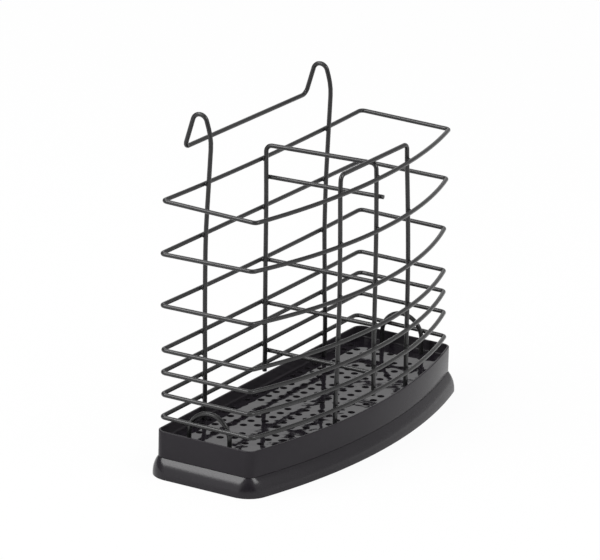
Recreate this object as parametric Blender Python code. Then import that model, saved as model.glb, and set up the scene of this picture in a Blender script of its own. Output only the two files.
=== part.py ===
# Cutlery holder: a wire basket that stands in a drainer, which sits on a drip tray.
# Lengths are in metres, +Z is up, -Y is the bowed front and the hooks are at the back.
import bmesh
import bpy
from math import asin, atan2, ceil, cos, pi, radians, sin, sqrt, tan
from mathutils import Vector

mm = 0.001

# Wires
hoop_wire = 2.4 * mm
frame_wire = 2.5 * mm
weld_gap = 0.3 * mm

# Hoops, measured on the wire's centre line
basket_length = 220.0 * mm
basket_depth = 59.6 * mm
basket_bow = 19.2 * mm
hoop_corner_radius = 3.4 * mm
basket_height = 129.6 * mm
lowest_hoop_over_rim = 7.2 * mm
hoop_level_shares = (0, 0.110, 0.213, 0.316, 0.522, 0.763, 1)
hoop_bow_shares = (1, 1, 1, 1, 1, 1, 0.86)
end_hoop_front_rise = 1.2 * mm

# Frames that carry the hoops
frame_corner_radius = 4.0 * mm
divider_top_over_hoops = 8.8 * mm
divider_foot_under_hoops = 3.2 * mm
divider_back_foot_x = -1.4 * mm
divider_back_top_x = -4.8 * mm
divider_front_foot_x = 3.4 * mm
divider_front_knee_x = -0.8 * mm
divider_front_top_x = 1.8 * mm
rung_level_shares = (0.075, 0.306, 0.512, 0.913)
rung_overhang = 3.1 * mm
front_frame_left_foot_x = -37.6 * mm
front_frame_left_knee_x = -36.9 * mm
front_frame_left_top_x = -35.0 * mm
front_frame_right_foot_x = 45.0 * mm
front_frame_right_knee_x = 39.8 * mm
front_frame_right_top_x = 41.2 * mm
knee_radius = 150.0 * mm
arch_width = 27.4 * mm
left_arch_y = -0.8 * mm
left_arch_top_over_hoop = 7.4 * mm
right_arch_y = -3.3 * mm
right_arch_top_over_hoop = 8.9 * mm

# Hanger, one wire: leg, hook, bar, hook, leg
hanger_width = 132.0 * mm
hanger_left_sway = 4.5 * mm
hanger_right_sway = 2.6 * mm
hanger_right_foot_shift = 1.8 * mm
hanger_leg_radius = 300.0 * mm
hook_bend_over_hoops = 26.8 * mm
hook_bend_radius = 33.0 * mm
hook_top_over_hoops = 41.7 * mm
hook_crown_radius = 4.9 * mm
hook_lean = radians(16)
bar_over_hoops = 19.5 * mm
bar_corner_radius = 4.0 * mm

# Drainer: a satin band round a perforated floor
rim_side_margin = 2.4 * mm
rim_back_margin = 0.5 * mm
rim_front_margin = 2.4 * mm
rim_bow = 17.5 * mm
base_corner_radius = 6.0 * mm
band_height = 15.8 * mm
band_wall = 1.4 * mm
rim_round = 0.4 * mm
rim_depth = 6.7 * mm
drainer_floor_wall = 1.5 * mm
floor_fillet = 1.0 * mm
foot_gap = 0.3 * mm

# Drip tray: a tray whose flange turns down into a flared skirt
skirt_height = 11.1 * mm
skirt_flare = 4.6 * mm
skirt_wall = 1.6 * mm
skirt_roundness = 2.4
skirt_corner_growth = 1.87
tray_wall = 1.2 * mm
tray_floor_wall = 1.5 * mm
lip_height = 3.4 * mm
lip_gap = 0.4 * mm
nest_gap = 0.3 * mm

# Drain holes, in rows from the back, with a blank place at every sixth on a slant
hole_diameter = 4.0 * mm
hole_pitch = 8.4 * mm
back_row_pitch = 7.05 * mm
front_row_pitch = 7.8 * mm
middle_row_gap = 9.9 * mm
hole_back_margin = 7.2 * mm
hole_front_margin = 12.4 * mm
hole_left_margin = 28.15 * mm
hole_right_margin = 17.85 * mm
back_group_rows = 5
blank_period = 12
first_blank = 13
plugged_places = ((1, 12), (3, 14))
cut_overrun = 1.0 * mm

# How finely round stretches are stepped
wire_resolution = 2
hoop_corner_steps = 4
base_corner_steps = 5
front_steps = 12
bend_step = radians(22.5)
skirt_steps = 5
hole_sides = 8

# Places that follow from the sizes above
hoop_radius = hoop_wire / 2
frame_radius = frame_wire / 2
half_basket = basket_length / 2
back_y = basket_depth / 2
front_corner_y = -back_y
step_z = skirt_height + nest_gap
rim_z = step_z + band_height
floor_z = rim_z - rim_depth
foot_z = floor_z + foot_gap
lowest_hoop_z = rim_z + lowest_hoop_over_rim
top_hoop_z = lowest_hoop_z + basket_height
divider_top_z = top_hoop_z + divider_top_over_hoops
divider_foot_z = lowest_hoop_z - divider_foot_under_hoops
front_frame_top_z = divider_top_z + frame_wire + weld_gap
inside_hoops = hoop_radius + weld_gap + frame_radius
back_leg_y = back_y - inside_hoops
knee_z = lowest_hoop_z + hoop_level_shares[-2] * basket_height
bar_z = top_hoop_z + bar_over_hoops
hook_top_z = top_hoop_z + hook_top_over_hoops
hook_bend_z = top_hoop_z + hook_bend_over_hoops

basket_plan = {
    "half_length": half_basket,
    "back": back_y,
    "front": front_corner_y,
    "bow": basket_bow,
    "radius": hoop_corner_radius,
    "corner_growth": 1,
    "corner_steps": hoop_corner_steps,
}
base_plan = {
    "half_length": half_basket + hoop_radius + rim_side_margin,
    "back": back_y + hoop_radius + rim_back_margin,
    "front": front_corner_y - hoop_radius - rim_front_margin,
    "bow": rim_bow,
    "radius": base_corner_radius,
    "corner_growth": skirt_corner_growth,
    "corner_steps": base_corner_steps,
}


def front_circle(plan):
    """Centre y and radius of the circle that the bowed front follows."""
    half, bow = plan["half_length"], plan["bow"]
    radius = (half * half + bow * bow) / (2 * bow)
    return plan["front"] - bow + radius, radius


def front_y(plan, x, offset=0):
    """y of the bowed front at x, on the outline moved outward by offset."""
    centre_y, radius = front_circle(plan)
    radius += offset
    return centre_y - sqrt(radius * radius - x * x)


def arc(centre_x, centre_y, radius, start, end, steps):
    """Points of an arc in plan, both ends included."""
    angles = [start + (end - start) * i / steps for i in range(steps + 1)]
    return [(centre_x + radius * cos(a), centre_y + radius * sin(a)) for a in angles]


def outline(plan, offset=0):
    """Closed outline, anticlockwise: straight back and sides, bowed front, round corners."""
    centre_y, front_radius = front_circle(plan)
    front_radius += offset
    radius = plan["radius"] + offset * (plan["corner_growth"] if offset > 0 else 1)
    side = plan["half_length"] + offset - radius
    back = plan["back"] + offset - radius
    front = centre_y - sqrt((front_radius - radius) ** 2 - side * side)
    slant = atan2(side, centre_y - front)
    steps = plan["corner_steps"]
    points = arc(side, back, radius, 0, pi / 2, steps)
    points += arc(-side, back, radius, pi / 2, pi, steps)
    points += arc(-side, front, radius, pi, 3 * pi / 2 - slant, steps)
    points += arc(0, centre_y, front_radius, 3 * pi / 2 - slant, 3 * pi / 2 + slant, front_steps)[1:-1]
    points += arc(side, front, radius, 3 * pi / 2 + slant, 2 * pi, steps)
    return points


def bent_path(corners):
    """Centre line of a bent wire. corners holds (point, bend radius); the ends have radius 0."""
    points = []
    for i, (corner, radius) in enumerate(corners):
        corner = Vector(corner)
        if radius == 0:
            points.append(corner)
            continue
        before = (Vector(corners[i - 1][0]) - corner).normalized()
        after = (Vector(corners[i + 1][0]) - corner).normalized()
        half_angle = before.angle(after) / 2
        centre = corner + (before + after).normalized() * (radius / sin(half_angle))
        start = corner + before * (radius / tan(half_angle)) - centre
        axis = before.cross(after).normalized()
        across = start.cross(axis)
        turn = pi - 2 * half_angle
        steps = max(1, ceil(turn / bend_step))
        for k in range(steps + 1):
            angle = turn * k / steps
            points.append(centre + start * cos(angle) + across * sin(angle))
    return points


def material(name, colour, roughness, metallic=0.0):
    made = bpy.data.materials.new(name)
    made.use_nodes = True
    shader = made.node_tree.nodes["Principled BSDF"]
    shader.inputs["Base Color"].default_value = (*colour, 1.0)
    shader.inputs["Roughness"].default_value = roughness
    shader.inputs["Metallic"].default_value = metallic
    return made


def wire(name, points, diameter, closed=False):
    """A round wire along points."""
    curve = bpy.data.curves.new(name, "CURVE")
    curve.dimensions = "3D"
    curve.bevel_depth = diameter / 2
    curve.bevel_resolution = wire_resolution
    curve.resolution_u = 1
    curve.render_resolution_u = 0
    curve.use_fill_caps = not closed
    spline = curve.splines.new("POLY")
    spline.points.add(len(points) - 1)
    for place, point in zip(spline.points, points):
        place.co = (*point, 1)
    spline.use_cyclic_u = closed
    made = bpy.data.objects.new(name, curve)
    made.data.materials.append(material(name + "_coat", (0.052, 0.052, 0.054), 0.42, 0.0))
    part_collection.objects.link(made)
    return made


def lofted(name, plan, sections):
    """One closed solid through the plan's outline at each (offset, z), capped at both ends."""
    shape = bmesh.new()
    offset, z = sections[0]
    ring = [shape.verts.new((x, y, z)) for x, y in outline(plan, offset)]
    shape.faces.new(ring)
    edges = [shape.edges.get((ring[i - 1], ring[i])) for i in range(len(ring))]
    for offset, z in sections[1:]:
        extruded = bmesh.ops.extrude_edge_only(shape, edges=edges)["geom"]
        edges = [item for item in extruded if isinstance(item, bmesh.types.BMEdge)]
        joined = {vert for edge in edges for vert in edge.verts}
        above = {}
        for edge in shape.edges:
            low, high = edge.verts
            if low in joined and high not in joined:
                above[high] = low
            if high in joined and low not in joined:
                above[low] = high
        ring = [above[vert] for vert in ring]
        for vert, (x, y) in zip(ring, outline(plan, offset)):
            vert.co = (x, y, z)
        edges = [shape.edges.get((ring[i - 1], ring[i])) for i in range(len(ring))]
    shape.faces.new(ring)
    bmesh.ops.recalc_face_normals(shape, faces=shape.faces)
    mesh = bpy.data.meshes.new(name)
    shape.to_mesh(mesh)
    shape.free()
    mesh.shade_smooth()
    mesh.set_sharp_from_angle(angle=radians(40))
    made = bpy.data.objects.new(name, mesh)
    part_collection.objects.link(made)
    return made


def hoop_plan(bow_share):
    return {**basket_plan, "bow": basket_bow * bow_share}


def hoop(number, level, bow_share):
    """A hoop. The bowed fronts of the lowest and the top one rise a little to the middle."""
    rise = end_hoop_front_rise if level in (0, 1) else 0
    points = []
    for x, y in outline(hoop_plan(bow_share)):
        z = lowest_hoop_z + level * basket_height
        if y < front_corner_y:
            z += rise * (1 - (x / half_basket) ** 2)
        points.append((x, y, z))
    return wire(f"hoop_{number}", points, hoop_wire, closed=True)


def front_leg(foot_x, knee_x, top_x, foot_z, top_z):
    """Corners of an upright inside the hoops' fronts. Above its knee it leans in to the top hoop."""
    foot_y, knee_y = [front_y(basket_plan, x) + inside_hoops for x in (foot_x, knee_x)]
    hoop_y = front_y(hoop_plan(hoop_bow_shares[-1]), top_x) + inside_hoops
    lean = (hoop_y - knee_y) / (top_hoop_z - knee_z)
    return [
        ((foot_x, foot_y, foot_z), 0),
        ((knee_x, knee_y, knee_z), knee_radius),
        ((top_x, knee_y + lean * (top_z - knee_z), top_z), frame_corner_radius),
    ]


def on_leg(corners, z):
    """Centre of a leg at height z, from its corners from the foot up."""
    points = [Vector(place) for place, radius in corners]
    low, high = points[:2] if z < points[1].z else points[-2:]
    return low.lerp(high, (z - low.z) / (high.z - low.z))


def hanger_frame():
    """Both legs, both hooks and the bar between them, bent from one wire."""
    apex_z = hook_top_z - frame_radius + hook_crown_radius * (1 / sin(hook_lean) - 1)
    apex_y = back_leg_y + (apex_z - hook_bend_z) * tan(hook_lean)
    bar_y = apex_y + (apex_z - bar_z) * tan(hook_lean)
    middle_z = (foot_z + hook_bend_z) / 2
    half = hanger_width / 2
    sides = ((-half, -half, hanger_left_sway), (half, half + hanger_right_foot_shift, hanger_right_sway))
    halves = []
    for x, foot_x, sway in sides:
        halves.append([
            ((foot_x, back_leg_y, foot_z), 0),
            ((x - sway, back_leg_y, middle_z), hanger_leg_radius),
            ((x, back_leg_y, hook_bend_z), hook_bend_radius),
            ((x, apex_y, apex_z), hook_crown_radius),
            ((x, bar_y, bar_z), bar_corner_radius),
        ])
    left, right = halves
    return wire("hanger_frame", bent_path(left + right[::-1]), frame_wire)


def divider_legs():
    """Corners of the divider's back and front legs, each from its foot up."""
    back = [
        ((divider_back_foot_x, back_leg_y, divider_foot_z), 0),
        ((divider_back_top_x, back_leg_y, divider_top_z), frame_corner_radius),
    ]
    across = divider_front_foot_x, divider_front_knee_x, divider_front_top_x
    return back, front_leg(*across, divider_foot_z, divider_top_z)


def divider_frame():
    back, front = divider_legs()
    return wire("divider_frame", bent_path(back + front[::-1]), frame_wire)


def divider_rung(number, level, is_top):
    """A rung on the divider's +X side, from its back leg to its front leg."""
    z = lowest_hoop_z + level * basket_height
    back, front = [on_leg(leg, z) for leg in divider_legs()]
    if is_top:
        front.y -= rung_overhang
    beside = Vector((frame_radius + weld_gap + hoop_radius, 0, 0))
    return wire(f"divider_rung_{number}", [back + beside, front + beside], hoop_wire)


def front_frame():
    across_left = front_frame_left_foot_x, front_frame_left_knee_x, front_frame_left_top_x
    across_right = front_frame_right_foot_x, front_frame_right_knee_x, front_frame_right_top_x
    left = front_leg(*across_left, foot_z, front_frame_top_z)
    right = front_leg(*across_right, foot_z, front_frame_top_z)
    return wire("front_frame", bent_path(left + right[::-1]), frame_wire)


def foot_arch(name, side, centre_y, top_over_hoop):
    """An arched foot inside the short side of the lowest hoop."""
    x = side * (half_basket - inside_hoops)
    crown = arch_width / 2
    top = lowest_hoop_z + top_over_hoop
    corners = [
        ((x, centre_y - crown, foot_z), 0),
        ((x, centre_y - crown, top), crown),
        ((x, centre_y + crown, top), crown),
        ((x, centre_y + crown, foot_z), 0),
    ]
    return wire(name, bent_path(corners), frame_wire)


def hole_rows():
    """y of each row of holes, from the back to the front."""
    y = base_plan["back"] - hole_back_margin
    rows = []
    while y > front_y(base_plan, 0) + hole_front_margin:
        rows.append(y)
        if len(rows) < back_group_rows:
            y -= back_row_pitch
        elif len(rows) == back_group_rows:
            y -= middle_row_gap
        else:
            y -= front_row_pitch
    return rows


def hole_places():
    """Centres of the drain holes: staggered rows, less the blank and the plugged places."""
    places = []
    start = hole_left_margin - base_plan["half_length"]
    room = 2 * base_plan["half_length"] - hole_left_margin - hole_right_margin
    for row, y in enumerate(hole_rows()):
        half_steps = range((row + 1) % 2, int(2 * room / hole_pitch) + 1, 2)
        for step in half_steps:
            x = start + step * hole_pitch / 2
            if (step - first_blank - row) % blank_period == 0 or (row, step) in plugged_places:
                continue
            if y - front_y(base_plan, x) >= hole_front_margin:
                places.append((x, y))
    return places


def hole_cutter():
    shape = bmesh.new()
    depth = drainer_floor_wall + 2 * cut_overrun
    for x, y in hole_places():
        made = bmesh.ops.create_cone(
            shape,
            cap_ends=True,
            segments=hole_sides,
            radius1=hole_diameter / 2,
            radius2=hole_diameter / 2,
            depth=depth,
        )
        middle = floor_z - drainer_floor_wall / 2
        bmesh.ops.translate(shape, verts=made["verts"], vec=(x, y, middle))
    mesh = bpy.data.meshes.new("hole_cutter")
    shape.to_mesh(mesh)
    shape.free()
    made = bpy.data.objects.new("hole_cutter", mesh)
    made.hide_render = True
    made.display_type = "WIRE"
    cutter_collection.objects.link(made)
    return made


def drainer():
    """Band and perforated floor, one moulding."""
    inside = -band_wall
    fillet_middle = floor_fillet * (1 - cos(pi / 4))
    sections = [
        (inside - floor_fillet, floor_z),
        (inside - fillet_middle, floor_z + fillet_middle),
        (inside, floor_z + floor_fillet),
        (inside, rim_z - rim_round),
        (inside + rim_round, rim_z),
        (-rim_round, rim_z),
        (0, rim_z - rim_round),
        (0, step_z),
        (inside, step_z),
        (inside, floor_z - drainer_floor_wall),
    ]
    made = lofted("drainer", base_plan, sections)
    cut = made.modifiers.new("drain holes", "BOOLEAN")
    cut.operation = "DIFFERENCE"
    cut.solver = "EXACT"
    cut.object = hole_cutter()
    made.data.materials.append(material("drainer_plastic", (0.040, 0.040, 0.043), 0.35))
    return made


def skirt_offset(z):
    """How far the skirt's outside stands out from the band at height z."""
    return skirt_flare * (1 - (z / skirt_height) ** skirt_roundness)


def drip_tray():
    """Tray, ledge, locating lip and flared skirt, one moulding, open under the flange."""
    lip_outside = -band_wall - lip_gap
    lip_inside = lip_outside - tray_wall
    ledge_under = skirt_height - skirt_wall
    levels = [i / skirt_steps for i in range(skirt_steps + 1)]
    sections = [(lip_outside, 0), (lip_outside, ledge_under)]
    sections += [(skirt_offset(ledge_under * s) - skirt_wall, ledge_under * s) for s in reversed(levels)]
    sections += [(skirt_offset(skirt_height * s), skirt_height * s) for s in levels]
    sections += [
        (lip_outside, skirt_height),
        (lip_outside, skirt_height + lip_height),
        (lip_inside, skirt_height + lip_height),
        (lip_inside, tray_floor_wall),
    ]
    made = lofted("drip_tray", base_plan, sections)
    made.data.materials.append(material("tray_plastic", (0.030, 0.030, 0.032), 0.16))
    return made


def mount(name, z, children, parent=None):
    """An empty on the lift axis that carries what lifts together."""
    made = bpy.data.objects.new(name, None)
    made.location = (0, 0, z)
    part_collection.objects.link(made)
    if parent is not None:
        made.parent = parent
        made.matrix_parent_inverse = parent.matrix_world.inverted()
    bpy.context.view_layer.update()
    for child in children:
        child.parent = made
        child.matrix_parent_inverse = made.matrix_world.inverted()
    return made


for old in list(bpy.data.objects):
    bpy.data.objects.remove(old)

part_collection = bpy.data.collections.new("cutlery_holder")
cutter_collection = bpy.data.collections.new("cutters")
bpy.context.scene.collection.children.link(part_collection)
bpy.context.scene.collection.children.link(cutter_collection)

drip_tray()
drainer_piece = drainer()
basket = []
for number, (level, bow_share) in enumerate(zip(hoop_level_shares, hoop_bow_shares), 1):
    basket.append(hoop(number, level, bow_share))
basket.append(hanger_frame())
basket.append(divider_frame())
for number, level in enumerate(rung_level_shares, 1):
    basket.append(divider_rung(number, level, number == len(rung_level_shares)))
basket.append(front_frame())
basket.append(foot_arch("left_foot_arch", -1, left_arch_y, left_arch_top_over_hoop))
basket.append(foot_arch("right_foot_arch", 1, right_arch_y, right_arch_top_over_hoop))

drainer_lift = mount("drainer_lift", step_z, [drainer_piece])
mount("basket_lift", floor_z, basket, drainer_lift)
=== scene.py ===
import math
import bmesh
import bpy
from mathutils import Matrix, Vector


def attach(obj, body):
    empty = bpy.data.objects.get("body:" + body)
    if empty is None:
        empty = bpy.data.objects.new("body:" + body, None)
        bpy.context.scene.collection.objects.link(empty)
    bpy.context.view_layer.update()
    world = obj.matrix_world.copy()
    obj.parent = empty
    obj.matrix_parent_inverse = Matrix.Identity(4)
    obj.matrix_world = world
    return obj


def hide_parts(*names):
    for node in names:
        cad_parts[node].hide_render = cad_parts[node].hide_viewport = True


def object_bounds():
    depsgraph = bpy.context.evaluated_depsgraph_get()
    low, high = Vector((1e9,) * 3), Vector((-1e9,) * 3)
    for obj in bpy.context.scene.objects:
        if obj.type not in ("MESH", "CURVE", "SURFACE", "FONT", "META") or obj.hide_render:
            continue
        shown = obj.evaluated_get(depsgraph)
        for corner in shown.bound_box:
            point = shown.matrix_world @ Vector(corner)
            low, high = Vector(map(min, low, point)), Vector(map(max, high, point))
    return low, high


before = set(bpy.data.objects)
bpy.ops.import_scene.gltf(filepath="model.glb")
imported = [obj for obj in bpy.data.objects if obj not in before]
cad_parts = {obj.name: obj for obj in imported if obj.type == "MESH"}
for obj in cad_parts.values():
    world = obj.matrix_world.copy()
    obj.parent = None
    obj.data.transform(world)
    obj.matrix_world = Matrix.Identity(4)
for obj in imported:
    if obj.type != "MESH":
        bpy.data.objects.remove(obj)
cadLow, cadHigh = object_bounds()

mm = 0.001
print("frame loaded", [round(v, 4) for v in (*cadLow, *cadHigh)])


# shader helpers

class Signal:  # a socket or a number that takes part in plain arithmetic
    def __init__(self, tree, socket):
        self.tree, self.socket = tree, socket

    def math(self, operation, *others, clamp=False):
        made = self.tree.node("ShaderNodeMath", {"operation": operation, "use_clamp": clamp},
                              {i: v for i, v in enumerate((self, *others))})
        return made.out(0)

    def __add__(self, other): return self.math("ADD", other)
    def __radd__(self, other): return self.math("ADD", other)
    def __sub__(self, other): return self.math("SUBTRACT", other)
    def __mul__(self, other): return self.math("MULTIPLY", other)
    def __rmul__(self, other): return self.math("MULTIPLY", other)

    def __rsub__(self, other):
        made = self.tree.node("ShaderNodeMath", {"operation": "SUBTRACT"}, {0: other, 1: self})
        return made.out(0)

    def clamped(self): return self.math("ADD", 0.0, clamp=True)


class Made:  # a node just made
    def __init__(self, tree, node):
        self.tree, self.node = tree, node

    def out(self, which=0):
        return Signal(self.tree, self.node.outputs[which])


class Tree:  # a node tree that is cleared and filled
    def __init__(self, owner):
        owner.use_nodes = True
        self.nodes, self.links = owner.node_tree.nodes, owner.node_tree.links
        self.nodes.clear()

    def node(self, kind, settings=None, inputs=None):
        made = self.nodes.new(kind)
        for key, value in (settings or {}).items():
            setattr(made, key, value)
        for key, value in (inputs or {}).items():
            if isinstance(value, Signal):
                self.links.new(value.socket, made.inputs[key])
            else:
                made.inputs[key].default_value = value
        return Made(self, made)

    def noise(self, where, scale, detail=3.0, roughness=0.55):
        return self.node("ShaderNodeTexNoise", {"noise_dimensions": "3D"},
                         {"Vector": where, "Scale": scale, "Detail": detail, "Roughness": roughness}).out(0)

    def ramp(self, value, low, high):  # 0 below low, 1 above high, smooth between
        return self.node("ShaderNodeMapRange", {"interpolation_type": "SMOOTHSTEP"},
                         {"Value": value, "From Min": low, "From Max": high}).out(0)

    def blendColour(self, share, first, second):
        made = self.node("ShaderNodeMix", {"data_type": "RGBA"}, {0: share, 6: first, 7: second})
        return made.out(2)

    def end(self, shader, kind="ShaderNodeOutputMaterial"):
        self.node(kind, None, {"Surface": shader})


noiseLook = {"broadDetail": 4.0, "swellDetail": 0.5, "fineDetail": 2.0,
             "grainDetail": 3.0, "grainRoughness": 0.6, "speckDetail": 2.0, "speckRoughness": 0.5,
             "speckFrom": 0.70, "speckTo": 0.78, "broadFrom": 0.3, "broadTo": 0.7,
             "middle": 0.5}  # the same in every material


def plastic(name, look):
    material = bpy.data.materials.new(name)
    tree, base = Tree(material), noiseLook
    where = tree.node("ShaderNodeTexCoord").out("Object")
    broad = tree.noise(where, look["broadScale"], base["broadDetail"])
    swell = tree.noise(where, look["swellScale"], base["swellDetail"])
    fine = tree.noise(where, look["fineScale"], base["fineDetail"])
    grain = tree.noise(where, look["grainScale"], base["grainDetail"], base["grainRoughness"])
    specks = tree.noise(where, look["speckScale"], base["speckDetail"], base["speckRoughness"])
    specks = tree.ramp(specks, base["speckFrom"], base["speckTo"])
    paler = tree.ramp(broad, base["broadFrom"], base["broadTo"])
    colour = tree.blendColour(paler, look["dark"], look["light"])
    colour = tree.blendColour(specks * look["speckShare"], colour, look["speckColour"])
    roughness = (look["roughness"] + (broad - base["middle"]) * look["broadRoughness"]
                 + (fine - base["middle"]) * look["fineRoughness"]
                 + specks * look["speckRoughness"]).clamped()
    wave = tree.node("ShaderNodeBump", None, {
        "Strength": look["waveStrength"], "Distance": look["waveHeight"], "Height": swell}).out(0)
    skin = tree.node("ShaderNodeBump", None, {
        "Strength": look["skinStrength"], "Distance": look["skinHeight"],
        "Height": grain, "Normal": wave}).out(0)
    shader = tree.node("ShaderNodeBsdfPrincipled", None, {
        "Base Color": colour, "Roughness": roughness, "Normal": skin,
        "IOR": look["ior"], "Metallic": 0.0}).out(0)
    tree.end(shader)
    return material


def placed(name, data):  # a new object in the scene
    made = bpy.data.objects.new(name, data)
    bpy.context.scene.collection.objects.link(made)
    return made


# camera, at the photo's angle

cameraLook = {"azimuth": math.radians(-58.88), "elevation": math.radians(18.70), "roll": math.radians(1.457),
              "lens": 320.69, "sensor": 36.0, "near": 0.1, "far": 50.0, "target": Vector((0, 0, 0.10813)),
              "back": 3.1213, "right": -0.004986, "up": -0.01404}  # azimuth from -Y, metres from the target


def photoCamera(look):
    az, el, roll = look["azimuth"], look["elevation"], look["roll"]
    back = Vector((math.sin(az) * math.cos(el), -math.cos(az) * math.cos(el), math.sin(el)))
    level = Vector((math.cos(az), math.sin(az), 0))
    above = back.cross(level)
    right = math.cos(roll) * level + math.sin(roll) * above
    up = math.cos(roll) * above - math.sin(roll) * level
    data = bpy.data.cameras.new("photoCamera")
    data.lens, data.sensor_width = look["lens"], look["sensor"]
    data.clip_start, data.clip_end = look["near"], look["far"]
    camera = placed("photoCamera", data)
    place = look["target"] + back * look["back"] + right * look["right"] + up * look["up"]
    camera.matrix_world = Matrix.Translation(place) @ Matrix((right, up, back)).transposed().to_4x4()
    bpy.context.scene.camera = camera


photoCamera(cameraLook)
print("camera set")


# floor, world and lights

paperLook = {"size": 6.0, "under": 0.2 * mm, "colour": (0.78, 0.78, 0.78, 1), "roughness": 0.9,
             "grainScale": 900.0, "grainDetail": 3.0, "grainStrength": 0.02, "grainHeight": 0.2 * mm,
             "white": (1, 1, 1, 1), "whiteShare": 0.94, "glossShare": 0.35}


def studioFloor(look):
    size = look["size"] / 2
    mesh = bpy.data.meshes.new("studioFloor")
    corners = [(-size, -size, 0), (size, -size, 0), (size, size, 0), (-size, size, 0)]
    mesh.from_pydata(corners, [], [(0, 1, 2, 3)])
    floor = placed("studioFloor", mesh)
    floor.location.z = cadLow.z - look["under"]
    material = bpy.data.materials.new("floorPaper")
    tree = Tree(material)
    where = tree.node("ShaderNodeTexCoord").out("Object")
    grain = tree.noise(where, look["grainScale"], look["grainDetail"])
    bump = tree.node("ShaderNodeBump", None, {
        "Strength": look["grainStrength"], "Distance": look["grainHeight"], "Height": grain}).out(0)
    shader = tree.node("ShaderNodeBsdfPrincipled", None, {
        "Base Color": look["colour"], "Roughness": look["roughness"],
        "Specular IOR Level": 0.0, "Normal": bump}).out(0)
    white = tree.node("ShaderNodeEmission", None, {"Color": look["white"], "Strength": 1.0}).out(0)
    ray = tree.node("ShaderNodeLightPath")
    seen = ray.out("Is Camera Ray").math("MAXIMUM", ray.out("Is Transmission Ray")) * look["whiteShare"]
    seen = seen.math("MAXIMUM", ray.out("Is Glossy Ray") * look["glossShare"])  # gloss still shows the shadow
    tree.end(tree.node("ShaderNodeMixShader", None, {0: seen, 1: shader, 2: white}).out(0))
    mesh.materials.append(material)


worldLook = {"horizon": 0.92, "zenith": 0.16, "zenithFrom": 0.35, "zenithTo": 0.92,
             "overhead": 1.5, "overheadFrom": 0.90, "overheadTo": 0.97, "white": (1, 1, 1, 1),
             "left": {"azimuth": math.pi, "from": 0.10, "to": 0.80, "factor": 1.45},
             "right": {"azimuth": math.radians(-20), "from": 0.55, "to": 0.95, "factor": 0.62},
             "front": {"azimuth": cameraLook["azimuth"] - math.pi / 2, "from": 0.64, "to": 0.88,
                       "factor": 0.14},
             "back": {"azimuth": math.radians(92), "from": 0.45, "to": 0.85, "factor": 0.30}}


def sideFactor(tree, where, side):  # the strength's factor on one side, 1 elsewhere
    way = (math.cos(side["azimuth"]), math.sin(side["azimuth"]), 0.0)
    facing = tree.node("ShaderNodeVectorMath", {"operation": "DOT_PRODUCT"}, {0: where, 1: way}).out("Value")
    return 1.0 + (side["factor"] - 1.0) * tree.ramp(facing, side["from"], side["to"])


def studioWorld(look):
    world = bpy.data.worlds.new("studioWorld")
    bpy.context.scene.world = world
    tree = Tree(world)
    where = tree.node("ShaderNodeTexCoord").out("Generated")
    height = tree.node("ShaderNodeSeparateXYZ", None, {0: where}).out(2)
    upward = tree.ramp(height, look["zenithFrom"], look["zenithTo"])
    strength = look["horizon"] + (look["zenith"] - look["horizon"]) * upward
    for name in ("left", "right", "front", "back"):
        strength = strength * sideFactor(tree, where, look[name])
    strength = strength + look["overhead"] * tree.ramp(height, look["overheadFrom"], look["overheadTo"])
    ray = tree.node("ShaderNodeLightPath")
    seen = ray.out("Is Camera Ray").math("MAXIMUM", ray.out("Is Transmission Ray"))
    strength = strength + (1.0 - strength) * seen
    shader = tree.node("ShaderNodeBackground", None, {"Color": look["white"], "Strength": strength}).out(0)
    tree.end(shader, "ShaderNodeOutputWorld")


lampLook = {"distance": 2.5, "aimHeight": 0.05}
lampLooks = {"leftSoftbox": {"azimuth": 140.0, "elevation": 44.0, "size": (1.44, 1.20), "power": 37.0},
             "rightSoftbox": {"azimuth": -89.0, "elevation": 44.0, "size": (1.15, 1.00), "power": 25.0},
             "backSoftbox": {"azimuth": 72.0, "elevation": 54.0, "size": (1.40, 0.60), "power": 7.0}}


def softbox(name, look):
    data = bpy.data.lights.new(name, "AREA")
    data.shape, data.size, data.size_y = "RECTANGLE", look["size"][0], look["size"][1]
    data.energy = look["power"]
    lamp = placed(name, data)
    az, el = math.radians(look["azimuth"]), math.radians(look["elevation"])
    toward = Vector((math.cos(az) * math.cos(el), math.sin(az) * math.cos(el), math.sin(el)))
    lamp.location = toward * lampLook["distance"] + Vector((0, 0, lampLook["aimHeight"]))
    lamp.rotation_euler = toward.to_track_quat("Z", "Y").to_euler()


studioFloor(paperLook)
studioWorld(worldLook)
for lampName, look in lampLooks.items():
    softbox(lampName, look)
bpy.context.scene.view_settings.view_transform = "Standard"
print("stage lit")


# outlines in plan, (x, y) from the middle

hoopPlan = {"radius": 3.0 * mm, "growth": 1.0, "cornerSteps": 8, "frontSteps": 40}
basePlan = {"half": 113.6 * mm, "back": 31.8 * mm, "front": -33.1 * mm, "bow": 17.8 * mm, "radius": 6.0 * mm,
            "growth": 1.87, "cornerSteps": 12, "frontSteps": 72}


def frontCircle(plan):
    radius = (plan["half"] ** 2 + plan["bow"] ** 2) / (2 * plan["bow"])
    return plan["front"] - plan["bow"] + radius, radius


def frontY(plan, x, offset=0.0):
    centre, radius = frontCircle(plan)
    return centre - math.sqrt((radius + offset) ** 2 - x * x)


def arc(cx, cy, radius, start, end, steps):
    angles = [start + (end - start) * i / steps for i in range(steps + 1)]
    return [(cx + radius * math.cos(a), cy + radius * math.sin(a)) for a in angles]


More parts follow.
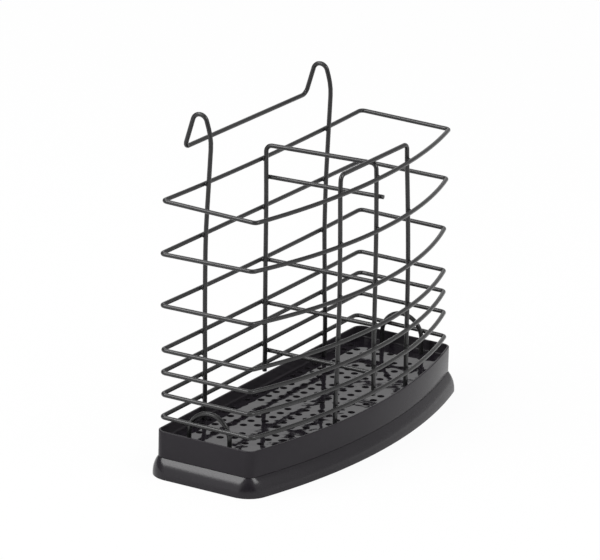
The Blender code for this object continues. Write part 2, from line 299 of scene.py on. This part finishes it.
def outline(plan, offset=0.0):
    centre, frontRadius = frontCircle(plan)
    frontRadius += offset
    radius = plan["radius"] + offset * (plan["growth"] if offset > 0 else 1.0)
    side, back = plan["half"] + offset - radius, plan["back"] + offset - radius
    front = centre - math.sqrt((frontRadius - radius) ** 2 - side * side)
    slant = math.atan2(side, centre - front)
    steps, quarter, low = plan["cornerSteps"], math.pi / 2, 3 * math.pi / 2
    points = arc(side, back, radius, 0, quarter, steps) + arc(-side, back, radius, quarter, math.pi, steps)
    points += arc(-side, front, radius, math.pi, low - slant, steps)
    points += arc(0, centre, frontRadius, low - slant, low + slant, plan["frontSteps"])[1:-1]
    return points + arc(side, front, radius, low + slant, 2 * math.pi, steps)


def loft(name, plan, sections):  # sections hold (offset, z, material number), closed at both ends
    rings = [outline(plan, offset) for offset, z, slot in sections]
    count = len(rings[0])
    points = [(x, y, section[1]) for ring, section in zip(rings, sections) for x, y in ring]
    faces, slots = [tuple(range(count))], [sections[0][2]]
    for i in range(len(sections) - 1):
        for k in range(count):
            after = (k + 1) % count
            faces.append((i * count + k, i * count + after, (i + 1) * count + after, (i + 1) * count + k))
            slots.append(sections[i + 1][2])
    faces.append(tuple(range((len(sections) - 1) * count, len(sections) * count)))
    slots.append(sections[-1][2])
    mesh = bpy.data.meshes.new(name)
    mesh.from_pydata(points, [], faces)
    mesh.polygons.foreach_set("material_index", slots)
    shape = bmesh.new()
    shape.from_mesh(mesh)
    bmesh.ops.recalc_face_normals(shape, faces=shape.faces)
    shape.to_mesh(mesh)
    shape.free()
    return placed(name, mesh)


def rounded(corner, before, after, radius, steps=4):  # points of a rounded corner in (offset, z)
    corner, before, after = Vector(corner), Vector(before), Vector(after)
    first, second = (before - corner).normalized(), (after - corner).normalized()
    half = first.angle(second) / 2
    centre = corner + (first + second).normalized() * (radius / math.sin(half))
    start = corner + first * (radius / math.tan(half)) - centre
    end = corner + second * (radius / math.tan(half)) - centre
    turn, points = math.pi - 2 * half, []
    for i in range(steps + 1):
        share = i / steps
        mixed = (start * math.sin((1 - share) * turn) + end * math.sin(share * turn)) / math.sin(turn)
        points.append(tuple(centre + mixed))
    return points


def faced(points, slot=0):  # points in (offset, z) with a material number
    return [(offset, z, slot) for offset, z in points]


smoothAngle = math.radians(35)


# materials

coatLook = {"dark": (0.0128, 0.0126, 0.0131, 1), "light": (0.0162, 0.0160, 0.0166, 1),
            "broadScale": 60.0, "swellScale": 60.0, "fineScale": 700.0, "grainScale": 2600.0,
            "speckScale": 900.0, "speckShare": 0.25, "speckColour": (0.03, 0.03, 0.03, 1), "roughness": 0.27,
            "broadRoughness": 0.08, "fineRoughness": 0.03, "speckRoughness": 0.04, "waveStrength": 0.15,
            "waveHeight": 0.12 * mm, "skinStrength": 0.25, "skinHeight": 0.02 * mm, "ior": 1.48}
bandLook = {"dark": (0.0232, 0.0209, 0.0245, 1), "light": (0.0261, 0.0237, 0.0274, 1),
            "broadScale": 25.0, "swellScale": 25.0, "fineScale": 500.0, "grainScale": 3200.0,
            "speckScale": 700.0, "speckShare": 0.15, "speckColour": (0.03, 0.03, 0.03, 1), "roughness": 0.10,
            "broadRoughness": 0.05, "fineRoughness": 0.08, "speckRoughness": 0.06, "waveStrength": 0.10,
            "waveHeight": 0.2 * mm, "skinStrength": 0.30, "skinHeight": 0.02 * mm, "ior": 1.20}
glossColours = {"dark": (0.0108, 0.0090, 0.0121, 1), "light": (0.0128, 0.0107, 0.0142, 1)}
floorLook = dict(bandLook, **glossColours, ior=1.41, swellScale=170.0, roughness=0.04,
                 broadRoughness=0.03, fineRoughness=0.02, speckRoughness=0.08,
                 waveStrength=1.0, waveHeight=0.09 * mm, skinStrength=0.08, skinHeight=0.01 * mm)
trayLook = dict(bandLook, **glossColours, ior=1.40, roughness=0.22, broadRoughness=0.08, fineRoughness=0.05,
                waveStrength=0.18, waveHeight=0.2 * mm, skinStrength=0.10, skinHeight=0.01 * mm)

coat = plastic("powderCoat", coatLook)
bandSatin = plastic("bandSatin", bandLook)
floorGloss = plastic("floorGloss", floorLook)
trayGloss = plastic("trayGloss", trayLook)
print("materials made")


# wires, coated, so a little thicker than the CAD's

wireLook = {"hoop": 2.6 * mm, "frame": 2.72 * mm, "gap": 0.3 * mm, "cadHoop": 2.4 * mm, "cadFrame": 2.5 * mm,
            "bendStep": math.radians(7.5), "rings": 5, "corner": 4 * mm, "legSteps": 6, "longest": 12 * mm}
levels = {"rim": 27.4 * mm, "floor": 20.5 * mm, "foot": 20.8 * mm, "step": 11.4 * mm}
hoopColumns = ("z", "half", "back", "halfFront", "front", "bow",
               "rise", "pitch", "roll", "sag", "skew", "twist")  # in mm, the last six are bends
hoopTable = ((34.3, 109.0, 30.6, 109.3, -31.2, 17.9, 1.2, 0, 0, 0.3, -0.2, 0.65),
             (48.7, 110.5, 29.6, 110.0, -30.1, 19.6, 0.2, 0, 0, 0.3, 0, 0),
             (62.0, 110.5, 30.0, 109.4, -29.8, 19.6, 0, 0, 0, 0.4, 0, 0),
             (75.4, 110.0, 30.3, 108.8, -29.8, 19.3, 0, 0, 0, 0.75, 0, 0),
             (102.1, 110.7, 30.9, 108.8, -29.0, 19.9, -0.4, 0, -0.3, 1.3, 0, 0),
             (133.2, 111.0, 31.3, 109.1, -29.2, 18.7, 0.1, -0.22, -0.5, 0.1, 0, 0),
             (164.0, 109.4, 31.6, 110.1, -30.0, 16.4, 1.1, 0.65, 0, 1.9, 1.0, 0))
hoopRows = [dict(hoopPlan, **{key: value * mm for key, value in zip(hoopColumns, row)}) for row in hoopTable]
inside = wireLook["cadHoop"] / 2 + wireLook["gap"] + wireLook["cadFrame"] / 2
topHoop = hoopRows[-1]["z"]


def bentPath(corners):
    points = []
    for i, (corner, radius) in enumerate(corners):
        corner = Vector(corner)
        if radius == 0:
            points.append(corner)
            continue
        before = (Vector(corners[i - 1][0]) - corner).normalized()
        after = (Vector(corners[i + 1][0]) - corner).normalized()
        half = before.angle(after) / 2
        centre = corner + (before + after).normalized() * (radius / math.sin(half))
        start = corner + before * (radius / math.tan(half)) - centre
        across = start.cross(before.cross(after).normalized())
        turn = math.pi - 2 * half
        steps = max(3, math.ceil(turn / wireLook["bendStep"]))
        for k in range(steps + 1):
            angle = turn * k / steps
            points.append(centre + start * math.cos(angle) + across * math.sin(angle))
    return points


def wire(name, points, diameter, closed=False):
    curve = bpy.data.curves.new(name + "Coated", "CURVE")
    curve.dimensions = "3D"
    curve.bevel_depth = diameter / 2
    curve.bevel_resolution = wireLook["rings"]
    curve.use_fill_caps = not closed
    spline = curve.splines.new("POLY")
    spline.points.add(len(points) - 1)
    for place, point in zip(spline.points, points):
        place.co = (*point, 1)
    spline.use_cyclic_u = closed
    spline.use_smooth = True
    curve.materials.append(coat)
    made = placed(name + "Coated", curve)
    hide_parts(name)
    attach(made, "basket")
    return points


backDepth = 0.99  # share of a hoop's depth past which its wire is the back one


def onHoop(hoop, x, y):  # the hoop's point over (x, y) of its plan
    depth = (y - hoop["front"]) / (hoop["back"] - hoop["front"])
    ahead, across = 1 - max(depth, 0), x / hoop["half"]
    middle = 1 - across ** 2
    z = hoop["z"] + hoop["pitch"] * (1 - 2 * ahead) + hoop["roll"] * across
    z += hoop["twist"] * (1 - 2 * ahead) * (1 + across) / 2
    if depth < 0:
        z += hoop["rise"] * middle
    if depth > backDepth:
        z -= hoop["sag"] * middle
    narrowing = (hoop["halfFront"] / hoop["half"] - 1) * ahead
    return Vector((x * (1 + narrowing), y + hoop["skew"] * across * ahead, z))


def divided(points, longest):  # a closed path with its long straight parts divided
    path = []
    for here, after in zip(points, points[1:] + points[:1]):
        parts = max(1, math.ceil(math.dist(here, after) / longest))
        path += [tuple(h + (a - h) * i / parts for h, a in zip(here, after)) for i in range(parts)]
    return path


def hoops():
    for number, hoop in enumerate(hoopRows, 1):
        points = [onHoop(hoop, x, y) for x, y in divided(outline(hoop), wireLook["longest"])]
        wire(f"hoop_{number}", points, wireLook["hoop"], True)


def smoothed(knots, steps):  # cubic path through knots of rising z
    slopes = []
    for i in range(len(knots)):
        low, high = knots[max(i - 1, 0)], knots[min(i + 1, len(knots) - 1)]
        slopes.append((high - low) / (high.z - low.z))
    path = []
    for i in range(len(knots) - 1):
        span = knots[i + 1].z - knots[i].z
        for k in range(steps):
            t = k / steps
            here = knots[i] * (2 * t ** 3 - 3 * t * t + 1) + slopes[i] * (span * (t ** 3 - 2 * t * t + t))
            path.append(here + knots[i + 1] * (3 * t * t - 2 * t ** 3)
                        + slopes[i + 1] * (span * (t ** 3 - t * t)))
    return path + [knots[-1]]


def legPath(places, atFront, foot=levels["foot"]):  # places hold x in mm at each hoop
    knots = []
    for hoop, place in zip(hoopRows, places):
        x = place * mm
        knot = onHoop(hoop, x, frontY(hoop, x) if atFront else hoop["back"])
        knots.append(Vector((x, knot.y + (inside if atFront else -inside), knot.z)))
    return smoothed([Vector((*knots[0].xy, foot))] + knots, wireLook["legSteps"])


hangerLook = {"left": (-66.4, -68.3, -68.1, -68.2, -68.0, -67.6, -65.1),
              "leftTop": (-65.4 * mm, topHoop + 41.6 * mm),
              "right": (67.7, 65.6, 64.9, 65.0, 64.5, 65.3, 67.3),
              "rightTop": (66.4 * mm, topHoop + 40.6 * mm),
              "y": 27.45 * mm, "bendZ": topHoop + 26.8 * mm, "bendRadius": 33 * mm, "crown": 4.9 * mm,
              "rise": math.radians(18), "fall": math.radians(16.4),
              "barZ": topHoop + 18.9 * mm, "barRadius": 4 * mm}


def hanger(look):
    sides, rise, fall = [], math.tan(look["rise"]), math.tan(look["fall"])
    above = look["crown"] * (1 / math.sin((look["rise"] + look["fall"]) / 2) - 1)  # corner over the crown
    for places, (x, top) in ((look["left"], look["leftTop"]), (look["right"], look["rightTop"])):
        apexZ = top - wireLook["cadFrame"] / 2 + above
        apexY = look["y"] + (apexZ - look["bendZ"]) * rise
        barY = apexY + (apexZ - look["barZ"]) * fall
        hook = [((x, look["y"], look["bendZ"]), look["bendRadius"]), ((x, apexY, apexZ), look["crown"]),
                ((x, barY, look["barZ"]), look["barRadius"])]
        sides.append([(point, 0) for point in legPath(places, False)] + hook)
    return wire("hanger_frame", bentPath(sides[0] + sides[1][::-1]), wireLook["frame"])


dividerLook = {"back": (-0.7, -2.4, -2.3, -2.3, -2.0, -2.0, -2.7), "backTop": (-3.0, 28.85, 171.6),
               "front": (0.3, -1.1, -1.1, -0.9, -0.9, 0.1, 1.2), "frontTop": (2.9, -42.2, 171.85),
               "foot": 31.2 * mm, "rungs": ((44.2, 44.2), (73.7, 73.9), (100.3, 100.3), (151.3, 152.2)),
               "overhang": 3.1 * mm, "stub": 0.4 * mm}


def frameOf(name, left, right, leftTop, rightTop):  # two legs joined by a bar
    corners = [(point, 0) for point in left] + [(leftTop, wireLook["corner"]), (rightTop, wireLook["corner"])]
    return wire(name, bentPath(corners + [(point, 0) for point in right[::-1]]), wireLook["frame"])


def divider(look):
    back, front = legPath(look["back"], False, look["foot"]), legPath(look["front"], True, look["foot"])
    return frameOf("divider_frame", back, front, Vector(look["backTop"]) * mm, Vector(look["frontTop"]) * mm)


def rungs(look):
    ends, beside = [], Vector((inside, 0, 0))
    for number, (backZ, frontZ) in enumerate(look["rungs"], 1):
        back, front = atHeight(dividerPath, backZ * mm), atHeight(dividerPath[::-1], frontZ * mm)
        ends += [(back, back + beside), (front, front + beside)]
        along = (front - back).normalized()
        over = look["overhang"] if number == len(look["rungs"]) else look["stub"]
        wire(f"divider_rung_{number}", [back + beside - along * look["stub"], front + beside + along * over],
             wireLook["hoop"])
    return ends


frontLook = {"left": (-38.8, -39.2, -38.4, -37.8, -37.3, -36.9, -36.8), "leftTop": (-35.3, -41.45, 174.4),
             "right": (41.8, 40.6, 40.9, 41.4, 41.1, 40.2, 40.2), "rightTop": (39.0, -41.45, 174.4)}


def frontFrame(look):
    left, right = legPath(look["left"], True), legPath(look["right"], True)
    return frameOf("front_frame", left, right, Vector(look["leftTop"]) * mm, Vector(look["rightTop"]) * mm)


archLook = {"half": 13.7 * mm, "left": (-0.8 * mm, 7.4 * mm), "right": (-3.3 * mm, 8.9 * mm)}


def footArch(name, side, look):
    centre, over = look[name]
    x, crown, top = side * (hoopRows[0]["half"] - inside), look["half"], hoopRows[0]["z"] + over
    corners = [((x, centre - crown, levels["foot"]), 0), ((x, centre - crown, top), crown),
               ((x, centre + crown, top), crown), ((x, centre + crown, levels["foot"]), 0)]
    return wire(name + "_foot_arch", bentPath(corners), wireLook["frame"])


def atHeight(points, z):
    for low, high in zip(points, points[1:]):
        if min(low.z, high.z) <= z <= max(low.z, high.z) and low.z != high.z:
            return low.lerp(high, (z - low.z) / (high.z - low.z))


hoops()
hangerPath = hanger(hangerLook)
dividerPath = divider(dividerLook)
rungEnds = rungs(dividerLook)
frontPath = frontFrame(frontLook)
archPaths = {side: footArch(name, side, archLook) for name, side in (("left", -1), ("right", 1))}
print("wires made")


# welds

weldLook = {"across": 1.45 * mm, "through": 0.95 * mm, "around": 14, "rings": 8}


def weldPlaces():
    places = list(rungEnds)
    uprights = [(hangerPath, False), (hangerPath[::-1], False), (dividerPath, False),
                (dividerPath[::-1], True), (frontPath, True), (frontPath[::-1], True)]
    for path, atFront in uprights:
        for hoop in hoopRows:
            leg = atHeight(path, hoop["z"])
            beside = onHoop(hoop, leg.x, frontY(hoop, leg.x) if atFront else hoop["back"])
            leg = atHeight(path, beside.z)
            places.append((leg, Vector((leg.x, beside.y, leg.z))))
    for side, path in archPaths.items():
        for way in (path, path[::-1]):
            leg = atHeight(way, hoopRows[0]["z"])
            places.append((leg, Vector((side * hoopRows[0]["half"], leg.y, leg.z))))
    return places


def welds(look):
    shape = bmesh.new()
    for first, second in weldPlaces():
        turn = (second - first).to_track_quat("Z", "Y").to_matrix().to_4x4()
        size = Matrix.Diagonal((look["across"], look["across"], look["through"], 1))
        place = Matrix.Translation((first + second) / 2) @ turn @ size
        bmesh.ops.create_uvsphere(shape, u_segments=look["around"], v_segments=look["rings"], radius=1.0,
                                  matrix=place)
    mesh = bpy.data.meshes.new("weldBeads")
    shape.to_mesh(mesh)
    shape.free()
    mesh.shade_smooth()
    mesh.materials.append(coat)
    made = placed("weldBeads", mesh)
    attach(made, "basket")


welds(weldLook)
print("welds made")


# drainer

drainerLook = {"wall": 1.4 * mm, "floorWall": 1.5 * mm, "fillet": 1.2 * mm, "rimRound": 0.45 * mm,
               "footRound": 0.25 * mm, "reach": 9 * mm, "past": 1 * mm,
               "hole": 4.25 * mm, "pitch": 8.4 * mm, "backPitch": 7.05 * mm, "frontPitch": 7.8 * mm,
               "middleGap": 9.9 * mm, "backMargin": 6.25 * mm, "frontMargin": 13.35 * mm,
               "leftMargin": 27.3 * mm, "rightMargin": 18.7 * mm, "backRows": 5, "period": 12,
               "firstBlank": 13,
               "plugged": ((1, 12), (3, 14)), "sides": 28, "lip": 0.10 * mm}  # plugged holds (row, step)
bandPart, floorPart = 0, 1  # material numbers


def holePlaces(look):  # rows from the back, every blank one on a slant
    rows, y = [], basePlan["back"] - look["backMargin"]
    while y > frontY(basePlan, 0) + look["frontMargin"]:
        rows.append(y)
        y -= look["backPitch"] if len(rows) < look["backRows"] else (
            look["middleGap"] if len(rows) == look["backRows"] else look["frontPitch"])
    room = 2 * basePlan["half"] - look["leftMargin"] - look["rightMargin"]
    places = []
    for row, y in enumerate(rows):
        for step in range((row + 1) % 2, int(2 * room / look["pitch"]) + 1, 2):
            x = look["leftMargin"] - basePlan["half"] + step * look["pitch"] / 2
            blank = (step - look["firstBlank"] - row) % look["period"] == 0 or (row, step) in look["plugged"]
            if not blank and y - frontY(basePlan, x) >= look["frontMargin"]:
                places.append((x, y))
    return places


def holeCutter(look):
    points, faces, sides, radius = [], [], look["sides"], look["hole"] / 2
    top, mouth = levels["floor"], radius + look["lip"]
    profile = [(radius, top - look["floorWall"] - look["past"]), (radius, top - look["lip"]),
               (mouth, top), (mouth, top + look["past"])]
    for x, y in holePlaces(look):
        base = len(points)
        for r, z in profile:
            points += [(px, py, z) for px, py in arc(x, y, r, 0, 2 * math.pi, sides)[:-1]]
        faces.append(tuple(base + k for k in reversed(range(sides))))
        for i in range(len(profile) - 1):
            for k in range(sides):
                after = (k + 1) % sides
                low, high = base + i * sides, base + (i + 1) * sides
                faces.append((low + k, low + after, high + after, high + k))
        faces.append(tuple(base + (len(profile) - 1) * sides + k for k in range(sides)))
    mesh = bpy.data.meshes.new("holeCutter")
    mesh.from_pydata(points, [], faces)
    return placed("holeCutter", mesh)


def drainer(look):
    wall, top, floor = -look["wall"], levels["rim"], levels["floor"]
    under = floor - look["floorWall"]
    innerFoot = rounded((wall, floor), (wall - look["reach"], floor), (wall, top), look["fillet"], 6)
    innerRim = rounded((wall, top), (wall, floor), (0, top), look["rimRound"], 4)
    outerRim = rounded((0, top), (wall, top), (0, levels["step"]), look["rimRound"], 4)
    foot = rounded((0, levels["step"]), (0, top), (wall, levels["step"]), look["footRound"], 3)
    sections = faced(innerFoot[:1], floorPart) + faced(innerFoot[1:] + innerRim + outerRim + foot, bandPart)
    sections += faced([(wall, levels["step"]), (wall, under)], bandPart)
    made = loft("drainerMoulding", basePlan, sections)
    cutter = holeCutter(look)
    cut = made.modifiers.new("holes", "BOOLEAN")
    cut.operation, cut.solver, cut.object = "DIFFERENCE", "EXACT", cutter
    bpy.context.view_layer.update()
    made.data.materials.append(bandSatin)
    made.data.materials.append(floorGloss)
    cutter.data.materials.append(bandSatin)
    cutMesh = bpy.data.meshes.new_from_object(made.evaluated_get(bpy.context.evaluated_depsgraph_get()))
    made.modifiers.clear()
    made.data = cutMesh
    bpy.data.objects.remove(cutter)
    cutMesh.shade_smooth()
    cutMesh.set_sharp_from_angle(angle=smoothAngle)
    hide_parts("drainer")
    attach(made, "drainer")
    print("drainer faces", len(cutMesh.polygons), [m.name for m in cutMesh.materials])


drainer(drainerLook)
print("drainer made")


# drip tray

skirtLook = {"height": 11.3 * mm, "flare": 4.6 * mm, "wall": 1.6 * mm, "roundness": 2.4, "trayWall": 1.2 * mm,
             "floorWall": 1.5 * mm, "lip": 3.4 * mm, "lipGap": 0.4 * mm, "steps": 20,
             "lipRound": 0.4 * mm, "floorRound": 1.5 * mm, "reach": 9 * mm}


def flare(look, z):  # how far the skirt stands out at z
    return look["flare"] * (1 - (z / look["height"]) ** look["roundness"])


def dripTray(look):
    outside = -drainerLook["wall"] - look["lipGap"]
    within, under = outside - look["trayWall"], look["height"] - look["wall"]
    shares = [i / look["steps"] for i in range(look["steps"] + 1)]
    skirt = [(outside, 0), (outside, under)]
    skirt += [(flare(look, under * s) - look["wall"], under * s) for s in reversed(shares)]
    skirt += [(flare(look, look["height"] * s), look["height"] * s) for s in shares]
    lipTop, foot = look["height"] + look["lip"], look["floorWall"]
    lip = [(outside, look["height"])]
    lip += rounded((outside, lipTop), (outside, 0), (within, lipTop), look["lipRound"], 3)
    lip += rounded((within, lipTop), (outside, lipTop), (within, 0), look["lipRound"], 3)
    well = rounded((within, foot), (within, lipTop), (within - look["reach"], foot), look["floorRound"], 5)
    made = loft("dripTrayMoulding", basePlan, faced(skirt + lip + well))
    made.data.materials.append(trayGloss)
    made.data.shade_smooth()
    made.data.set_sharp_from_angle(angle=smoothAngle)
    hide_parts("drip_tray")
    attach(made, "tray")


dripTray(skirtLook)
print("drip tray made")
